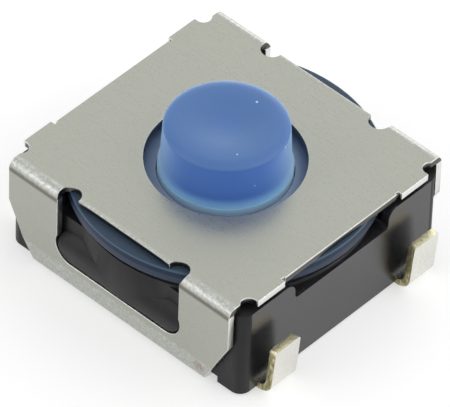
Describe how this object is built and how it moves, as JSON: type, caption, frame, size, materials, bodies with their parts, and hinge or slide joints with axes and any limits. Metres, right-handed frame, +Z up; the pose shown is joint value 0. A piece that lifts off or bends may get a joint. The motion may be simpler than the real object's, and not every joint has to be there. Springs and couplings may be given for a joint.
{
  "type": "tactile push button switch",
  "caption": "Sealed surface-mount push switch: folded steel cover over a black housing, blue silicone button, bent solder terminals.",
  "frame": {"origin": "centre of the switch on the board, at the level of the terminals' undersides", "axes": "+X from the centre to one terminal side, +Y from the centre to one skirt of the cover, +Z up out of the board, the button is pressed along -Z"},
  "size_m": [0.0072, 0.0062, 0.0034],
  "materials": {
    "housing": "moulded, satin",
    "contact": "silver plated strip with bare cut edges",
    "dome": "rolled spring sheet",
    "silicone": "translucent moulded silicone",
    "cover": "satin rolled sheet, bright at the bends"
  },
  "bodies": {
    "base": {"housing": "housing", "middle_contact": "contact", "outer_contact": "contact", "snap_dome": "dome", "seal": "silicone", "cover": "cover"},
    "button": {"button": "silicone"}
  },
  "joints": [
    {"name": "button_press", "type": "slide", "parent": "base", "child": "button", "axis": [0, 0, -1], "range_m": [0, 0.0003], "stiffness_N_per_m": 8000, "deforming": ["seal", "snap_dome"]}
  ]
}
